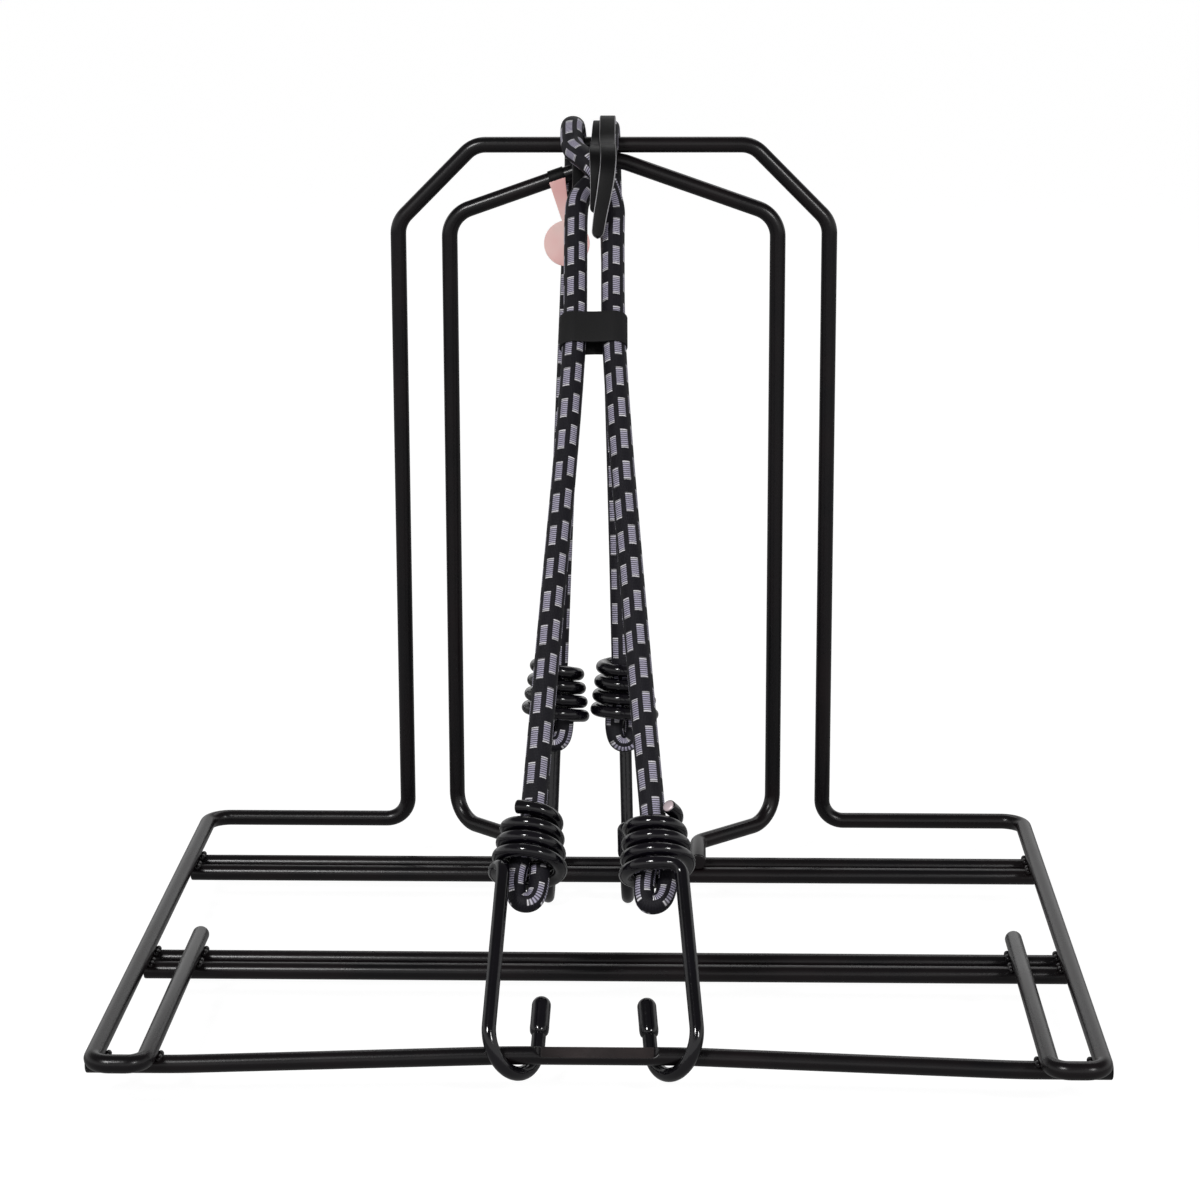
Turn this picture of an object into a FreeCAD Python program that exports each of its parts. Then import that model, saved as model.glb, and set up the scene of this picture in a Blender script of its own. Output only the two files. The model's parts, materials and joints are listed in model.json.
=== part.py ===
import FreeCAD, Part
import math
import os

Vec = FreeCAD.Vector

# Welded wire luggage rack with a hoop back and two bungee cords, in millimetres.
# +X is to the right, -Y is the front, +Z is up. The origin is the centre of the
# footprint at the level of the lowest point, the bottoms of the rear hooks.

# frame wire
wire_d = 6.35
frame_width = 342.0          # rail to rail, centre to centre
rail_reach = 283.0           # rear run to the front of the hairpins
hoop_width = 174.2           # upright to upright, centre to centre
hoop_height = 282.8          # rails to top bar, centre to centre
top_run = 112.0              # straight part of the hoop's top, sharp corner to corner
hairpin_width = 18.0         # rail to its inner leg
leg_end = 149.0              # rear run to the free end of the inner leg
corner_bend = 9.0
hoop_bend = 11.0
hairpin_bend = 6.5

# inner brace
brace_width = 132.6
brace_slope = 0.35           # rise over run of its sloping top
brace_foot_x = 35.0          # feet to the middle
brace_foot_end = 58.0        # rear run to the ends of the feet
brace_bend = 12.0
foot_bend = 6.0
apex_bend = 18.0

# cross wires, in pairs under the rails, and the hook bar
pair_gap = 13.1
pair_places = {"rear": 48.8, "front": 165.4}
hook_bar_place = 266.4
hook_bar_length = 351.2
hook_bar_crown = 4.05        # how far the cords pull its middle up and back
hook_bar_rise_x = 144.0      # the rise begins here, inside the hairpins
hook_bar_shelf_x = 30.0      # and ends here
hook_bar_bend = 400.0
hook_bar_flat_length = 44.0
hook_bar_flat_depth = 1.6
hook_bar_flat_turn = 20.0    # degrees, forward from upright

# hooks, one shape for all four
hook_wire_d = 5.0
coil_top_r = 8.2
coil_pitch = 5.6
coil_turns = 4
coil_corners = 8            # arcs in a turn of the coil
hook_bend_r = 12.75
stem_bend = 4.6
hook_reach = 60.0            # centre of the bend at the tip to the end of the coil
tip_height = 19.0            # centre of the bend to the top of the dipped tip
tip_d = 6.7
tip_length = 14.0
seat_gap = 0.3
stem_out = 10.0              # front hooks' stems face out from the cords' plane
stem_aside = 8.0             # and to their own side, in this proportion
bend_share = 0.999           # bends stop just short of the whole length they have
coil_bend_share = 0.49       # of the shorter run beside each corner of the coil

# bungee cords
cord_d = 9.0
core_d = 7.8
cord_top_x = {"left": -15.2, "right": -1.2}
cord_band_x = {"left": -13.6, "right": 0.4}
front_hook_x = {"left": -28.9, "right": 26.0}
rear_hook_x = {"left": -25.5, "right": 6.2}
band_place = 95.0            # along the front cords, from the top bar to the band's middle
band_length = 13.8
band_wall = 0.5
band_fit = 0.1
band_slide = 40.0            # how far up the cords the band goes
bend_below_band = 10.0       # band's middle to where the cords part
parting_bend = 60.0
loop_reach = 31.0            # top of the coil to the bottom of the cord's loop
loop_half = 4.4              # half the distance between the loop's two strands
join_above_coil = 4.0        # coil's top to where the stretching cord begins
end_straight = 5.0           # coil's top to where the squeezed end turns aside
end_parts_at = 18.0          # and to where it leaves the other strand
end_parted = 3.9
end_returns_at = 19.0        # coil's top to the cut end
end_bends = [25.0, 14.0]
rear_corner = {"left": 12.0, "right": 11.0}   # how far behind the top bar they turn down

# strap and tag
strap_width = 8.0
strap_thick = 1.1
strap_x = -3.4
strap_front = 44.0           # along the cords, from the top bar to the strap's front end
strap_back = 13.0
strap_gap = 1.6
strap_lean = 0.2             # how far behind the top bar its highest point is, over 1
tag_thick = 0.5
tag_disc_d = 18.4
tag_disc_x = -18.6
tag_disc_drop = 39.5         # top bar to the disc's middle
tag_loop_x = -22.5
tag_loop_width = 6.4
tag_loop_wall = 0.4
tag_neck_lap = 2.0           # how far the neck goes over the disc
tag_neck_low_width = 2.8
tag_neck_drop = 1.0          # loop's axis to the neck's top
tag_lean = 7.0               # degrees, its disc in front of its loop

wire_r = wire_d / 2
hook_r = hook_wire_d / 2
hang_r = cord_d / 2 + wire_r + seat_gap
strap_r = hang_r + cord_d / 2 + strap_gap
pair_half = pair_gap / 2
rear_y = (rail_reach + wire_r - strap_r - strap_thick) / 2


def unit(v):
    return v * (1.0 / v.Length)


def rounded_path(points, bends):
    """Edges of a path of straight runs joined by tangent arcs, one bend radius per inner point."""
    edges = []
    start = points[0]
    for before, corner, after, bend in zip(points, points[1:], points[2:], bends):
        came = unit(corner - before)
        goes = unit(after - corner)
        turn = came.getAngle(goes)
        if turn < 1e-6:
            continue
        set_back = bend * math.tan(turn / 2)
        first = corner - came * set_back
        last = corner + goes * set_back
        inward = unit(goes - came)
        middle = corner + inward * (bend / math.cos(turn / 2) - bend)
        if (first - start).Length > 1e-6:
            edges.append(Part.LineSegment(start, first).toShape())
        edges.append(Part.Arc(first, middle, last).toShape())
        start = last
    edges.append(Part.LineSegment(start, points[-1]).toShape())
    return edges


def tube(edges, radius, label=""):
    """Round bar along a path of tangent edges. Its volume is compared with section times length."""
    path = Part.Wire(edges)
    first = edges[0]
    start = first.valueAt(first.FirstParameter)
    along = first.tangentAt(first.FirstParameter)
    ring = Part.Wire(Part.makeCircle(radius, start, along))
    solid = path.makePipeShell([ring], True, False)
    expected = math.pi * radius ** 2 * path.Length
    if label:
        print(label, "length", round(path.Length, 1), "volume ratio", round(solid.Volume / expected, 4))
    return solid


def mirrored_x(points):
    """The points of the left half followed by their mirror images, back to front."""
    return points + [Vec(-p.x, p.y, p.z) for p in reversed(points)]


def save(shape, node):
    if not shape.isValid():
        print("invalid", node)
    shape.exportStep("parts/" + node + ".step")
    box = shape.BoundBox
    print(node, "solids", len(shape.Solids), "x", round(box.XMin, 2), round(box.XMax, 2),
          "y", round(box.YMin, 2), round(box.YMax, 2), "z", round(box.ZMin, 2), round(box.ZMax, 2))


# heights that follow from the rear hooks, which hold both wires of their pair
bend_inner_r = hook_bend_r - hook_r
pair_drop = math.sqrt((bend_inner_r - wire_r - seat_gap) ** 2 - pair_half ** 2)
cross_z = hook_bend_r + hook_r - pair_drop
rail_z = cross_z + wire_d
top_z = rail_z + hoop_height

# the brace's top: straight slopes to a sharp apex, rounded so that it touches the top bar
apex_round_off = apex_bend * (math.hypot(1, brace_slope) - 1)
sharp_apex_z = top_z - wire_d + apex_round_off
shoulder_z = sharp_apex_z - brace_slope * brace_width / 2


def outer_frame_wire():
    """One wire: inner leg, hairpin, rail, rear run and upright on each side, and the top."""
    side = frame_width / 2
    inner = side - hairpin_width
    front_y = rear_y - rail_reach
    half = hoop_width / 2
    chamfer = half - top_run / 2
    left = [
        Vec(-inner, rear_y - leg_end, rail_z),
        Vec(-inner, front_y, rail_z),
        Vec(-side, front_y, rail_z),
        Vec(-side, rear_y, rail_z),
        Vec(-half, rear_y, rail_z),
        Vec(-half, rear_y, top_z - chamfer),
        Vec(-top_run / 2, rear_y, top_z),
    ]
    half_bends = [hairpin_bend, hairpin_bend, corner_bend, corner_bend, hoop_bend, hoop_bend]
    bends = half_bends + list(reversed(half_bends))
    return tube(rounded_path(mirrored_x(left), bends), wire_r, "outer_frame_wire")


def inner_brace_wire():
    """Hoop inside the hoop: its top rises to the top bar, its feet turn in and lie on the rear pair."""
    half = brace_width / 2
    step = half - brace_foot_x
    left = [
        Vec(-brace_foot_x, rear_y - brace_foot_end, rail_z),
        Vec(-brace_foot_x, rear_y - step, rail_z),
        Vec(-half, rear_y, rail_z),
        Vec(-half, rear_y, shoulder_z),
    ]
    right = [Vec(-p.x, p.y, p.z) for p in reversed(left)]
    points = left + [Vec(0, rear_y, sharp_apex_z)] + right
    bends = [foot_bend, brace_bend, brace_bend, apex_bend, brace_bend, brace_bend, foot_bend]
    return tube(rounded_path(points, bends), wire_r, "inner_brace_wire")


def cross_wire(place):
    side = frame_width / 2
    y = rear_y - place
    return Part.makeCylinder(wire_r, frame_width, Vec(-side, y, cross_z), Vec(1, 0, 0))


# line of the front cords: tangent to the circle round the top bar, and through the hook bar
bar_end = Vec(0, rear_y - hook_bar_place, cross_z)
top_bar = Vec(0, rear_y, top_z)
rough = unit(bar_end - top_bar)
bar_middle = bar_end - rough * hook_bar_crown
reach = bar_middle - top_bar
lean = math.atan2(-reach.y, -reach.z) - math.asin(hang_r / reach.Length)
front_down = Vec(0, -math.sin(lean), -math.cos(lean))
front_out = Vec(0, -math.cos(lean), math.sin(lean))
front_start = top_bar + front_out * hang_r
front_run = (bar_middle - front_start).dot(front_down)

# the rear cords leave the back of the top bar for the middle of the rear pair
pair_middle = Vec(0, rear_y - pair_places["rear"], cross_z + pair_drop)


def hook_bar():
    """Straight halves that rise to a flattened middle between the two front hooks."""
    half = hook_bar_length / 2
    left = [
        Vec(-half, bar_end.y, bar_end.z),
        Vec(-hook_bar_rise_x, bar_end.y, bar_end.z),
        Vec(-hook_bar_shelf_x, bar_middle.y, bar_middle.z),
    ]
    bar = tube(rounded_path(mirrored_x(left), [hook_bar_bend] * 4), wire_r, "hook_bar")
    flat = Part.makeBox(hook_bar_flat_length, 3 * wire_d, wire_d)
    flat.translate(Vec(-hook_bar_flat_length / 2, -1.5 * wire_d, wire_r - hook_bar_flat_depth))
    flat.rotate(Vec(0, 0, 0), Vec(1, 0, 0), hook_bar_flat_turn)
    flat.translate(bar_middle)
    return bar.cut(flat)


def local_hook():
    """Hook with the centre of its bend at the origin, its cord along +Z and its stem at +X."""
    step = 2 * math.pi / coil_corners
    corners = coil_turns * coil_corners
    spread = 1 / math.cos(step / 2)
    coil_end_r = hook_bend_r / spread
    winding = []
    for k in range(corners + 1):
        r = spread * (coil_end_r + (coil_top_r - coil_end_r) * k / corners)
        z = hook_reach + coil_pitch * k / coil_corners
        winding.append(Vec(r * math.cos(-k * step), r * math.sin(-k * step), z))
    coil_bends = []
    for before, corner, after in zip(winding, winding[1:], winding[2:]):
        run = min((corner - before).Length, (after - corner).Length)
        turn = (corner - before).getAngle(after - corner)
        coil_bends.append(coil_bend_share * run / math.tan(turn / 2))
    wire_end = Vec(-hook_bend_r, 0, tip_height - tip_d / 2)
    low_left = Vec(-hook_bend_r, 0, -hook_bend_r)
    low_right = Vec(hook_bend_r, 0, -hook_bend_r)
    round_bend = hook_bend_r * bend_share
    bends = [round_bend, round_bend, stem_bend] + coil_bends
    wire = tube(rounded_path([wire_end, low_left, low_right] + winding, bends), hook_r, "hook")
    cap_foot = Vec(-hook_bend_r, 0, tip_height - tip_length)
    cap_length = tip_length - tip_d / 2
    cap = Part.makeCylinder(tip_d / 2, cap_length, cap_foot)
    dome = Part.makeSphere(tip_d / 2, wire_end)
    bore = Part.makeCylinder(hook_r, cap_length, cap_foot)
    tip = cap.fuse(dome).cut(bore).removeSplitter()
    return wire, tip


def placed(shape, centre, up, stem_side):
    """Copy of a hook piece with its bend at centre, its cord along up and its stem on stem_side."""
    across = unit(stem_side - up * stem_side.dot(up))
    depth = up.cross(across)
    matrix = FreeCAD.Matrix(
        across.x, depth.x, up.x, centre.x,
        across.y, depth.y, up.y, centre.y,
        across.z, depth.z, up.z, centre.z,
        0, 0, 0, 1)
    copy = shape.copy()
    copy.Placement = FreeCAD.Placement(matrix)
    return copy


def cord_end(centre, up):
    """Squeezed end of a cord: down through the coil, round in a loop and back up inside it."""
    top = centre + up * (hook_reach + coil_turns * coil_pitch)
    side = unit(Vec(1, 0, 0) - up * up.x)
    route = [
        top + up * join_above_coil,
        top - up * end_straight,
        top - up * end_parts_at - side * end_parted,
        top - up * loop_reach - side * loop_half,
        top - up * loop_reach + side * loop_half,
        top - up * end_returns_at + side * loop_half,
    ]
    bends = end_bends + [loop_half * bend_share] * 2
    return tube(rounded_path(route, bends), core_d / 2, "cord end")


def cord_stretch(label, route, bends):
    return tube(rounded_path(route, bends), cord_d / 2, label)


def front_point(x, along, out=0.0):
    """Point on the front cords' plane: x, distance down from the top bar, distance out."""
    return Vec(x, front_start.y, front_start.z) + front_down * along + front_out * out


def front_centre(side):
    place = front_run - (bend_inner_r - wire_r - seat_gap)
    return front_point(front_hook_x[side], place)


def rear_centre(side):
    return Vec(rear_hook_x[side], pair_middle.y, pair_middle.z)


def cord_top(side):
    return Vec(cord_top_x[side], rear_y, top_z + hang_r)


def front_cord(side):
    """Route from the top of the bar to the coil, its bends, the hook's centre and the way up to it."""
    over = cord_top(side)
    turn = math.pi / 2 - lean
    corner = over - Vec(0, hang_r * math.tan(turn / 2), 0)
    bend = front_point(cord_band_x[side], band_place + bend_below_band)
    centre = front_centre(side)
    up = unit(bend - centre)
    end = centre + up * (hook_reach + coil_turns * coil_pitch + join_above_coil)
    return [over, corner, bend, end], [hang_r * bend_share, parting_bend], centre, up


def rear_cord(side):
    """The same for the cord behind."""
    over = cord_top(side)
    centre = rear_centre(side)
    corner = over + Vec(0, rear_corner[side], 0)
    up = unit(corner - centre)
    turn = (corner - over).getAngle(up * -1)
    bend = bend_share * (corner.y - over.y) / math.tan(turn / 2)
    end = centre + up * (hook_reach + coil_turns * coil_pitch + join_above_coil)
    return [over, corner, end], [bend], centre, up


def cord_band():
    """Flat band round both front cords."""
    width = cord_band_x["right"] - cord_band_x["left"]
    routes = [front_cord(side)[0] for side in ("left", "right")]
    corner, bend = [(left + right) * 0.5 for left, right in zip(*routes)][1:3]
    up = unit(corner - bend)
    foot = bend + up * (bend_below_band - band_length / 2)
    print("band slides along", up, "from", foot)

    def oval(radius):
        block = Part.makeBox(width, 2 * radius, band_length, Vec(-width / 2, -radius, 0))
        left = Part.makeCylinder(radius, band_length, Vec(-width / 2, 0, 0))
        right = Part.makeCylinder(radius, band_length, Vec(width / 2, 0, 0))
        return block.fuse(left).fuse(right).removeSplitter()

    inner = cord_d / 2 + band_fit
    band = oval(inner + band_wall).cut(oval(inner))
    return placed(band, foot, up, Vec(1, 0, 0))


def top_strap():
    """Flat strap over the bar and the right cord, with its long end in front."""
    centre = Vec(strap_x - strap_width / 2, rear_y, top_z)
    behind = Vec(0, 1, 0)
    highest = unit(Vec(0, strap_lean, 1))
    back_end = Vec(0, 0, -strap_back)
    front_end = front_down * strap_front
    inner = strap_r
    outer = inner + strap_thick
    corners = {r: [centre + back_end + behind * r, centre + behind * r, centre + highest * r,
                   centre + front_out * r, centre + front_end + front_out * r] for r in (inner, outer)}
    edges = []
    for low_back, back, top, front, low_front in corners.values():
        edges.append(Part.LineSegment(low_back, back).toShape())
        edges.append(Part.Arc(back, top, front).toShape())
        edges.append(Part.LineSegment(front, low_front).toShape())
    for place in (0, -1):
        edges.append(Part.LineSegment(corners[inner][place], corners[outer][place]).toShape())
    outline = Part.Wire(Part.__sortEdges__(edges))
    return Part.Face(outline).extrude(Vec(strap_width, 0, 0))


def tag():
    """Round tag on a loop round the brace's left slope, in front of the left rear cord."""
    slope = brace_slope
    along = unit(Vec(1, 0, slope))
    axis_z = sharp_apex_z + slope * tag_loop_x
    centre = Vec(tag_loop_x, rear_y, axis_z)
    loop_r = wire_r + band_fit + tag_loop_wall
    start = centre - along * (tag_loop_width / 2)
    loop = Part.makeCylinder(loop_r, tag_loop_width, start, along)
    bore = Part.makeCylinder(wire_r + band_fit, tag_loop_width, start, along)
    front = rear_y - loop_r
    disc_z = top_z - tag_disc_drop
    disc = Part.makeCylinder(tag_disc_d / 2, tag_thick, Vec(tag_disc_x, front, disc_z), Vec(0, 1, 0))
    half = tag_loop_width / 2
    neck_low = disc_z + tag_disc_d / 2 - tag_neck_lap
    low_half = tag_neck_low_width / 2
    corners = [
        Vec(tag_loop_x - half, front, axis_z - half * slope - tag_neck_drop),
        Vec(tag_loop_x + half, front, axis_z + half * slope - tag_neck_drop),
        Vec(tag_disc_x + low_half, front, neck_low),
        Vec(tag_disc_x - low_half, front, neck_low),
    ]
    neck = Part.Face(Part.makePolygon(corners + corners[:1])).extrude(Vec(0, tag_thick, 0))
    hanging = neck.fuse(disc)
    hanging.rotate(centre, Vec(1, 0, 0), -tag_lean)
    print("tag hinge at", centre, "axis", along)
    return loop.fuse(hanging).cut(bore).removeSplitter()


os.makedirs("parts", exist_ok=True)
save(outer_frame_wire(), "outer_frame_wire")
save(inner_brace_wire(), "inner_brace_wire")
for name, place in pair_places.items():
    save(cross_wire(place - pair_half), name + "_cross_wire_back")
    save(cross_wire(place + pair_half), name + "_cross_wire_front")
save(hook_bar(), "hook_bar")

hook_shape, tip_shape = local_hook()
for side, sign in (("left", -1), ("right", 1)):
    stem_sides = {"front": front_out * stem_out + Vec(sign * stem_aside, 0, 0), "rear": Vec(0, 1, 0)}
    routes = {"front": front_cord(side), "rear": rear_cord(side)}
    for end, (route, bends, centre, up) in routes.items():
        name = end + "_" + side
        save(cord_stretch(name + "_cord", route, bends), name + "_cord")
        save(cord_end(centre, up), name + "_cord_end")
        save(placed(hook_shape, centre, up, stem_sides[end]), name + "_hook")
        save(placed(tip_shape, centre, up, stem_sides[end]), name + "_hook_tip")
        print(name, "bend centre", centre, "up", up, "route", route, "bends", bends)
save(cord_band(), "cord_band")
save(top_strap(), "top_strap")
save(tag(), "tag")
print("rail_z", round(rail_z, 3), "cross_z", round(cross_z, 3), "top_z", round(top_z, 3))
print("front down", front_down, "rear_y", round(rear_y, 3))
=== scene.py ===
import bpy
import json
import math
import numpy as np
from mathutils import Matrix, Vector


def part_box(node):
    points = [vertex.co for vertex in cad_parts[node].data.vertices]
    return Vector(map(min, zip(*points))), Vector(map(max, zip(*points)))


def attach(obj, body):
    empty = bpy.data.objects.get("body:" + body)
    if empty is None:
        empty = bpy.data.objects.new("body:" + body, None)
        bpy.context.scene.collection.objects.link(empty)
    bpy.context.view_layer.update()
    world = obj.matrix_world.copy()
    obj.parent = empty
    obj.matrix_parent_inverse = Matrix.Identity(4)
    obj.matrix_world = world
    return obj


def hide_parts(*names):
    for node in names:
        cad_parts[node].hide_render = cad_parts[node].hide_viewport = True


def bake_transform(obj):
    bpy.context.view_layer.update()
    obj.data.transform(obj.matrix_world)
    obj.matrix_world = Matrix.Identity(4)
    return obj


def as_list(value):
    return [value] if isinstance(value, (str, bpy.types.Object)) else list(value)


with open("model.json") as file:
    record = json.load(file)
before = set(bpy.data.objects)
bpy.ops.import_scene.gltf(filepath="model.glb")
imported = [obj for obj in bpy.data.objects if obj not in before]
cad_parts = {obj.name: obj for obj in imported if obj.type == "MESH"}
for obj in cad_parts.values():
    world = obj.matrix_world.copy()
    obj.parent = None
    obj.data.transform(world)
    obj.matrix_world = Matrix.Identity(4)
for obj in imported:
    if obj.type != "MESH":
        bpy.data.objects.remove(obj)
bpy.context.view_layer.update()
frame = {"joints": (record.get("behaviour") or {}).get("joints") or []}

# camera and room

cameraSet = {
    "place": (0.0303, -1.1693, 0.42215),
    "pitch": 13.25,          # degrees down
    "yaw": 1.59,             # degrees to the left
    "roll": -0.18,
    "lens": 96.96,
}

roomSet = {
    "floorSize": 60.0,
    "floorTop": -0.0003,
    "floorGrey": 0.18,
    "floorGlow": 0.93,       # as the camera sees it, so that only faint shadows are left
    "floorLit": 0.16,        # as the object sees it
    "seenWhite": 1.1,        # what shows behind the object
    "lowGlow": 1.0,          # light from the walls
    "highGlow": 0.16,        # light from the ceiling
    "fallFrom": 0.34,        # height of the sky's direction at which the walls end
    "fallTo": 0.58,
    "keyPower": 21.0,
    "fillPower": 9.0,
    "backPower": 4.0,
}


def unit(v):
    # The same directions, each of length 1.
    v = np.asarray(v, float)
    return v / np.linalg.norm(v, axis=-1, keepdims=True)


def lookMatrix(place, ahead, roll=0.0):
    # Turns -Z to ahead and keeps the top level, then rolls about ahead.
    ahead = unit(ahead)
    side = unit(np.cross(ahead, (0.0, 0.0, 1.0)))
    up = np.cross(side, ahead)
    right = math.cos(roll) * side + math.sin(roll) * up
    top = -math.sin(roll) * side + math.cos(roll) * up
    rows = [[right[i], top[i], -ahead[i], place[i]] for i in range(3)]
    return Matrix(rows + [[0.0, 0.0, 0.0, 1.0]])


def addCamera(s):
    # Looks along +Y, turned by yaw about Z, then down by pitch, then rolled.
    pitch, yaw, roll = (math.radians(s[k]) for k in ("pitch", "yaw", "roll"))
    ahead = (-math.sin(yaw) * math.cos(pitch), math.cos(yaw) * math.cos(pitch), -math.sin(pitch))
    data = bpy.data.cameras.new("camera")
    data.lens = s["lens"]
    data.sensor_width = 36.0
    data.clip_end = 200.0
    camera = bpy.data.objects.new("camera", data)
    camera.matrix_world = lookMatrix(s["place"], ahead, roll)
    bpy.context.scene.collection.objects.link(camera)
    bpy.context.scene.camera = camera


def addSoftLight(name, place, size, power):
    # Rectangular light aimed at the rack's middle.
    data = bpy.data.lights.new(name, "AREA")
    data.shape = "RECTANGLE"
    data.size, data.size_y = size
    data.energy = power
    light = bpy.data.objects.new(name, data)
    aim = np.array((0.0, 0.0, 0.12)) - np.array(place)
    light.matrix_world = lookMatrix(place, aim)
    bpy.context.scene.collection.objects.link(light)


def addRoom(s):
    # Light that falls off from the walls to the ceiling, a pale floor and three soft lights.
    world = bpy.data.worlds.new("studio")
    bpy.context.scene.world = world
    world.use_nodes = True
    nodes, links = world.node_tree.nodes, world.node_tree.links
    nodes.clear()
    coordinate = nodes.new("ShaderNodeTexCoord")
    split = nodes.new("ShaderNodeSeparateXYZ")
    links.new(coordinate.outputs["Generated"], split.inputs[0])
    fall = nodes.new("ShaderNodeMapRange")
    fall.interpolation_type = "SMOOTHSTEP"
    for k, v in ((1, s["fallFrom"]), (2, s["fallTo"]), (3, s["lowGlow"]), (4, s["highGlow"])):
        fall.inputs[k].default_value = v
    links.new(split.outputs["Z"], fall.inputs[0])
    room = nodes.new("ShaderNodeBackground")
    links.new(fall.outputs[0], room.inputs["Strength"])
    seen = nodes.new("ShaderNodeBackground")
    seen.inputs["Strength"].default_value = s["seenWhite"]
    path = nodes.new("ShaderNodeLightPath")
    mix = nodes.new("ShaderNodeMixShader")
    links.new(path.outputs["Is Camera Ray"], mix.inputs[0])
    links.new(room.outputs[0], mix.inputs[1])
    links.new(seen.outputs[0], mix.inputs[2])
    out = nodes.new("ShaderNodeOutputWorld")
    links.new(mix.outputs[0], out.inputs["Surface"])

    half, top = s["floorSize"] / 2, s["floorTop"]
    mesh = bpy.data.meshes.new("floor")
    corners = [(-half, -half, top), (half, -half, top), (half, half, top), (-half, half, top)]
    mesh.from_pydata(corners, [], [(0, 1, 2, 3)])
    floor = bpy.data.objects.new("floor", mesh)
    bpy.context.scene.collection.objects.link(floor)
    pale = bpy.data.materials.new("paleFloor")
    pale.use_nodes = True
    shader = pale.node_tree.nodes["Principled BSDF"]
    shader.inputs["Base Color"].default_value = (s["floorGrey"],) * 3 + (1.0,)
    shader.inputs["Roughness"].default_value = 0.9
    shader.inputs["Specular IOR Level"].default_value = 0.1
    shader.inputs["Emission Color"].default_value = (1.0, 1.0, 1.0, 1.0)
    nodes, links = pale.node_tree.nodes, pale.node_tree.links
    path, glow = nodes.new("ShaderNodeLightPath"), nodes.new("ShaderNodeMapRange")
    for k, v in ((3, s["floorLit"]), (4, s["floorGlow"])):
        glow.inputs[k].default_value = v
    links.new(path.outputs["Is Camera Ray"], glow.inputs[0])
    links.new(glow.outputs[0], shader.inputs["Emission Strength"])
    mesh.materials.append(pale)

    addSoftLight("key", (-0.8, -1.5, 1.5), (0.36, 0.36), s["keyPower"])
    addSoftLight("fill", (1.0, -1.4, 1.0), (0.3, 0.3), s["fillPower"])
    addSoftLight("back", (0.2, 1.4, 1.5), (1.2, 0.6), s["backPower"])
    bpy.context.scene.view_settings.view_transform = "Standard"


addCamera(cameraSet)
addRoom(roomSet)
print("camera and room")

# surfaces

def transported(line, start=(0.0, 0.0, 1.0)):
    # Directions along a line, and a normal that slides along it and never spins about it.
    steps = unit(np.diff(line, axis=0))
    along = unit(np.vstack([steps[:1], steps[:-1] + steps[1:], steps[-1:]]))
    normal = np.empty_like(along)
    last = np.asarray(start, float)
    for i, t in enumerate(along):
        last = unit(last - t * (last @ t))
        normal[i] = last
    return along, normal, np.cross(along, normal)


def distances(line):
    # How far along a line each of its points is.
    return np.concatenate([[0.0], np.cumsum(np.linalg.norm(np.diff(line, axis=0), axis=1))])


def meshOf(name, rings, around, lengthwise, poles=(None, None), closed=False):
    # Quads between rings of points, and a fan to a pole at each end that has one. UV is (length, turn).
    count, sides = rings.shape[:2]
    verts = rings.reshape(-1, 3)
    i, j = np.meshgrid(np.arange(count if closed else count - 1), np.arange(sides), indexing="ij")
    k, n = (j + 1) % sides, (i + 1) % count
    quads = np.stack([i * sides + j, i * sides + k, n * sides + k, n * sides + j], -1).reshape(-1, 4)
    low, high = around[j], around[j] + 1 / sides
    gap = lengthwise[1] - lengthwise[0]
    u0, u1 = lengthwise[i], np.where(n > i, lengthwise[n], lengthwise[i] + gap)
    uv = np.stack([u0, low, u0, high, u1, high, u1, low], -1).reshape(-1, 2)
    faces = quads.tolist()
    side = np.arange(sides)
    nextSide = (side + 1) % sides
    for pole, ring, flip in ((poles[0], 0, False), (poles[1], count - 1, True)):
        if pole is None:
            continue
        verts = np.vstack([verts, [pole]])
        tip = np.full(sides, len(verts) - 1)
        first, second = (side, nextSide) if flip else (nextSide, side)
        faces += np.stack([ring * sides + first, ring * sides + second, tip], -1).tolist()
        at = np.full(sides, lengthwise[ring])
        turn0, turn1 = around[side], around[side] + 1 / sides
        a, b = (turn0, turn1) if flip else (turn1, turn0)
        uv = np.vstack([uv, np.stack([at, a, at, b, at, (a + b) / 2], -1).reshape(-1, 2)])
    mesh = bpy.data.meshes.new(name)
    mesh.from_pydata(verts.tolist(), [], faces)
    layer = mesh.uv_layers.new(name="UVMap")
    layer.data.foreach_set("uv", uv.astype(np.float32).ravel())
    mesh.polygons.foreach_set("use_smooth", np.ones(len(mesh.polygons), bool))
    mesh.update()
    piece = bpy.data.objects.new(name, mesh)
    bpy.context.scene.collection.objects.link(piece)
    return piece


def endRings(place, outward, radius, shape):
    # Rings for a cut or domed end: shape holds how far each ring stands back and its share of the radius.
    back, share = np.array(shape).T
    return place - outward * back[:, None], radius * share


cutEnd = [(0.0, 0.80), (0.00012, 0.91), (0.00035, 0.98), (0.0007, 1.0)]
domeEnd = [(1 - math.cos(a), math.sin(a)) for a in np.linspace(0.12, math.pi / 2, 9)]


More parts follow.
